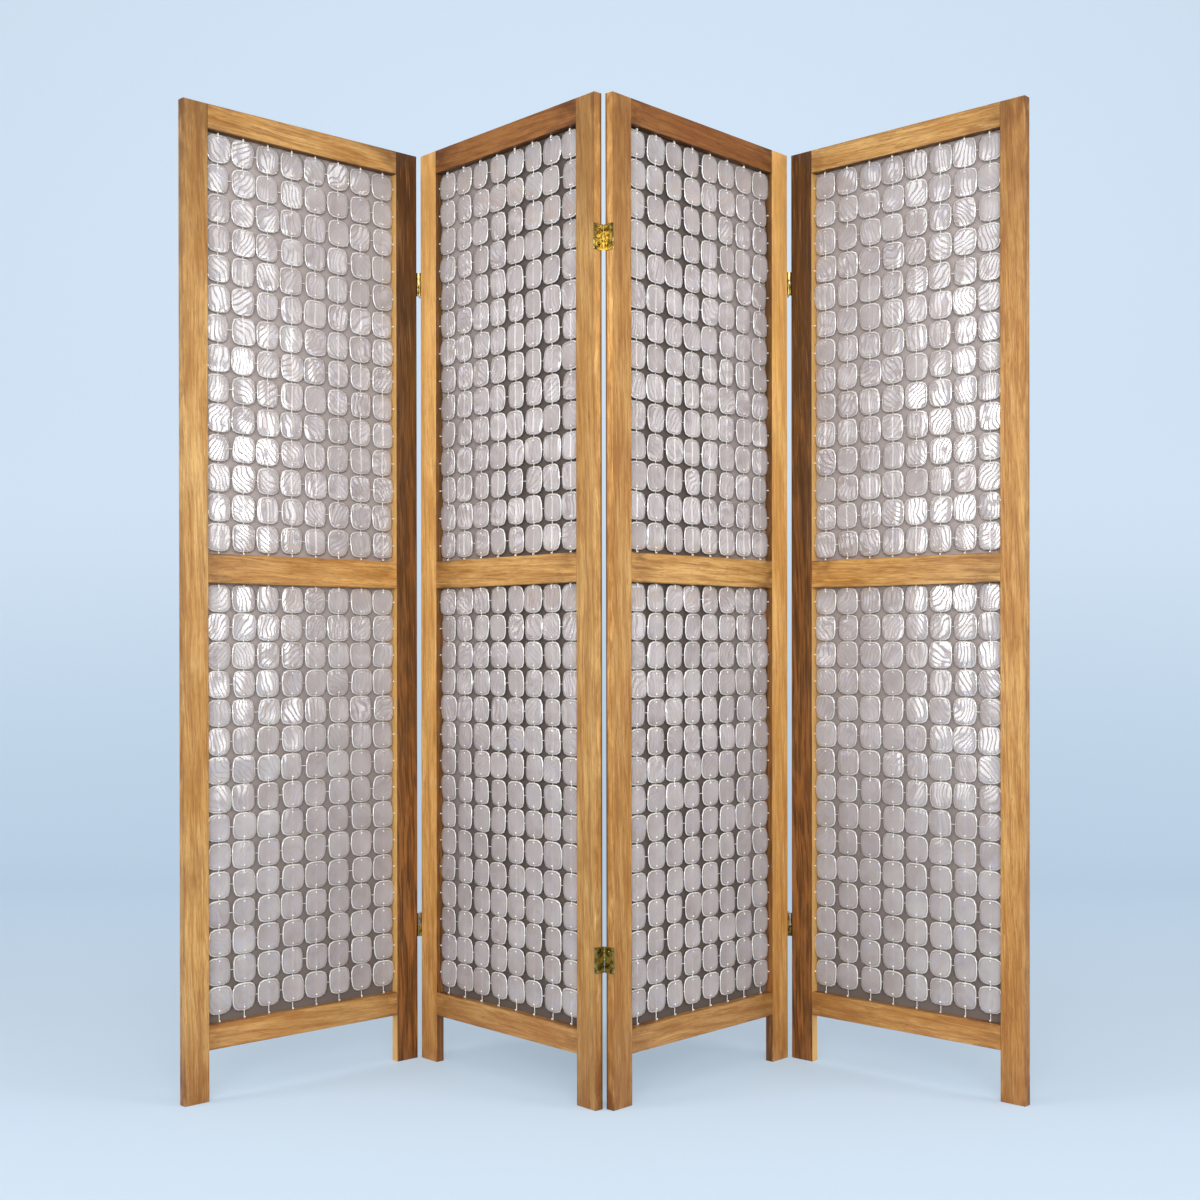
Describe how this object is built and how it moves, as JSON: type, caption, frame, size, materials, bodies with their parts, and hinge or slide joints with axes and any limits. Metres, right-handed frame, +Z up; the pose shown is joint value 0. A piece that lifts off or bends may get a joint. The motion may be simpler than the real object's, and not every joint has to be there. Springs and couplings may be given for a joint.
{
  "type": "folding screen",
  "caption": "Folding screen of hinged wooden panels with two openings each, hung with columns of translucent shells on threads before a cloth.",
  "frame": {"origin": "centre of the bottom of the screen's bounding box, on the floor, in the zigzag rest pose", "axes": "+X to the right along the screen, +Y to the back, so the shells' front faces point towards -Y, +Z up"},
  "size_m": [1.4792, 0.3876, 1.75],
  "materials": {
    "wood": "oiled honey-brown hardwood, satin",
    "shell": "thin translucent pearly shell",
    "thread": "pale twisted thread",
    "cloth": "mauve-grey plain cloth",
    "brass": "bright rolled brass"
  },
  "bodies": {
    "panel_1": {"panel_1_left_stile": "wood", "panel_1_right_stile": "wood", "panel_1_top_rail": "wood", "panel_1_middle_rail": "wood", "panel_1_bottom_rail": "wood", "panel_1_upper_shells": "shell", "panel_1_lower_shells": "shell", "panel_1_threads": "thread", "panel_1_backing_cloth": "cloth", "panel_1_hinge_leaves": "brass", "panel_1_hinge_screws": "brass", "panel_1_hinge_pins": "brass"},
    "panel_2": {"panel_2_left_stile": "wood", "panel_2_right_stile": "wood", "panel_2_top_rail": "wood", "panel_2_middle_rail": "wood", "panel_2_bottom_rail": "wood", "panel_2_upper_shells": "shell", "panel_2_lower_shells": "shell", "panel_2_threads": "thread", "panel_2_backing_cloth": "cloth", "panel_2_hinge_leaves": "brass", "panel_2_hinge_screws": "brass", "panel_2_hinge_pins": "brass"},
    "panel_3": {"panel_3_left_stile": "wood", "panel_3_right_stile": "wood", "panel_3_top_rail": "wood", "panel_3_middle_rail": "wood", "panel_3_bottom_rail": "wood", "panel_3_upper_shells": "shell", "panel_3_lower_shells": "shell", "panel_3_threads": "thread", "panel_3_backing_cloth": "cloth", "panel_3_hinge_leaves": "brass", "panel_3_hinge_screws": "brass", "panel_3_hinge_pins": "brass"},
    "panel_4": {"panel_4_left_stile": "wood", "panel_4_right_stile": "wood", "panel_4_top_rail": "wood", "panel_4_middle_rail": "wood", "panel_4_bottom_rail": "wood", "panel_4_upper_shells": "shell", "panel_4_lower_shells": "shell", "panel_4_threads": "thread", "panel_4_backing_cloth": "cloth", "panel_4_hinge_leaves": "brass", "panel_4_hinge_screws": "brass", "panel_4_hinge_pins": "brass"},
    "fold_1_2_left": {"fold_1_2_left_centre_leaves": "brass", "fold_1_2_centre_pins": "brass"},
    "fold_1_2_right": {"fold_1_2_right_centre_leaves": "brass"},
    "fold_2_3_left": {"fold_2_3_left_centre_leaves": "brass", "fold_2_3_centre_pins": "brass"},
    "fold_2_3_right": {"fold_2_3_right_centre_leaves": "brass"},
    "fold_3_4_left": {"fold_3_4_left_centre_leaves": "brass", "fold_3_4_centre_pins": "brass"},
    "fold_3_4_right": {"fold_3_4_right_centre_leaves": "brass"}
  },
  "joints": [
    {"name": "fold_1_2_right_front", "type": "hinge", "parent": "panel_2", "child": "fold_1_2_right", "pos_m": [-0.3582, 0.17154, 0], "axis": [0, 0, 1], "range_deg": [-44.8, 45.2]},
    {"name": "fold_1_2_back", "type": "hinge", "parent": "fold_1_2_right", "child": "fold_1_2_left", "pos_m": [-0.35886, 0.19258, 0], "axis": [0, 0, 1], "range_deg": [-180, 0]},
    {"name": "fold_1_2_left_front", "type": "hinge", "parent": "fold_1_2_left", "child": "panel_1", "pos_m": [-0.361, 0.17164, 0], "axis": [0, 0, 1], "range_deg": [-44.8, 45.2]},
    {"name": "fold_2_3_left_front", "type": "hinge", "parent": "panel_2", "child": "fold_2_3_left", "pos_m": [-0.01627, -0.19258, 0], "axis": [0, 0, 1], "range_deg": [-90, 0]},
    {"name": "fold_2_3_back", "type": "hinge", "parent": "fold_2_3_left", "child": "fold_2_3_right", "pos_m": [0, -0.17922, 0], "axis": [0, 0, 1], "range_deg": [-93.6, 86.4]},
    {"name": "fold_2_3_right_front", "type": "hinge", "parent": "fold_2_3_right", "child": "panel_3", "pos_m": [0.01627, -0.19258, 0], "axis": [0, 0, 1], "range_deg": [-90, 0]},
    {"name": "fold_3_4_left_front", "type": "hinge", "parent": "panel_3", "child": "fold_3_4_left", "pos_m": [0.3582, 0.17154, 0], "axis": [0, 0, -1], "range_deg": [-44.8, 45.2]},
    {"name": "fold_3_4_back", "type": "hinge", "parent": "fold_3_4_left", "child": "fold_3_4_right", "pos_m": [0.35886, 0.19258, 0], "axis": [0, 0, -1], "range_deg": [-180, 0]},
    {"name": "fold_3_4_right_front", "type": "hinge", "parent": "fold_3_4_right", "child": "panel_4", "pos_m": [0.361, 0.17164, 0], "axis": [0, 0, -1], "range_deg": [-44.8, 45.2]}
  ]
}
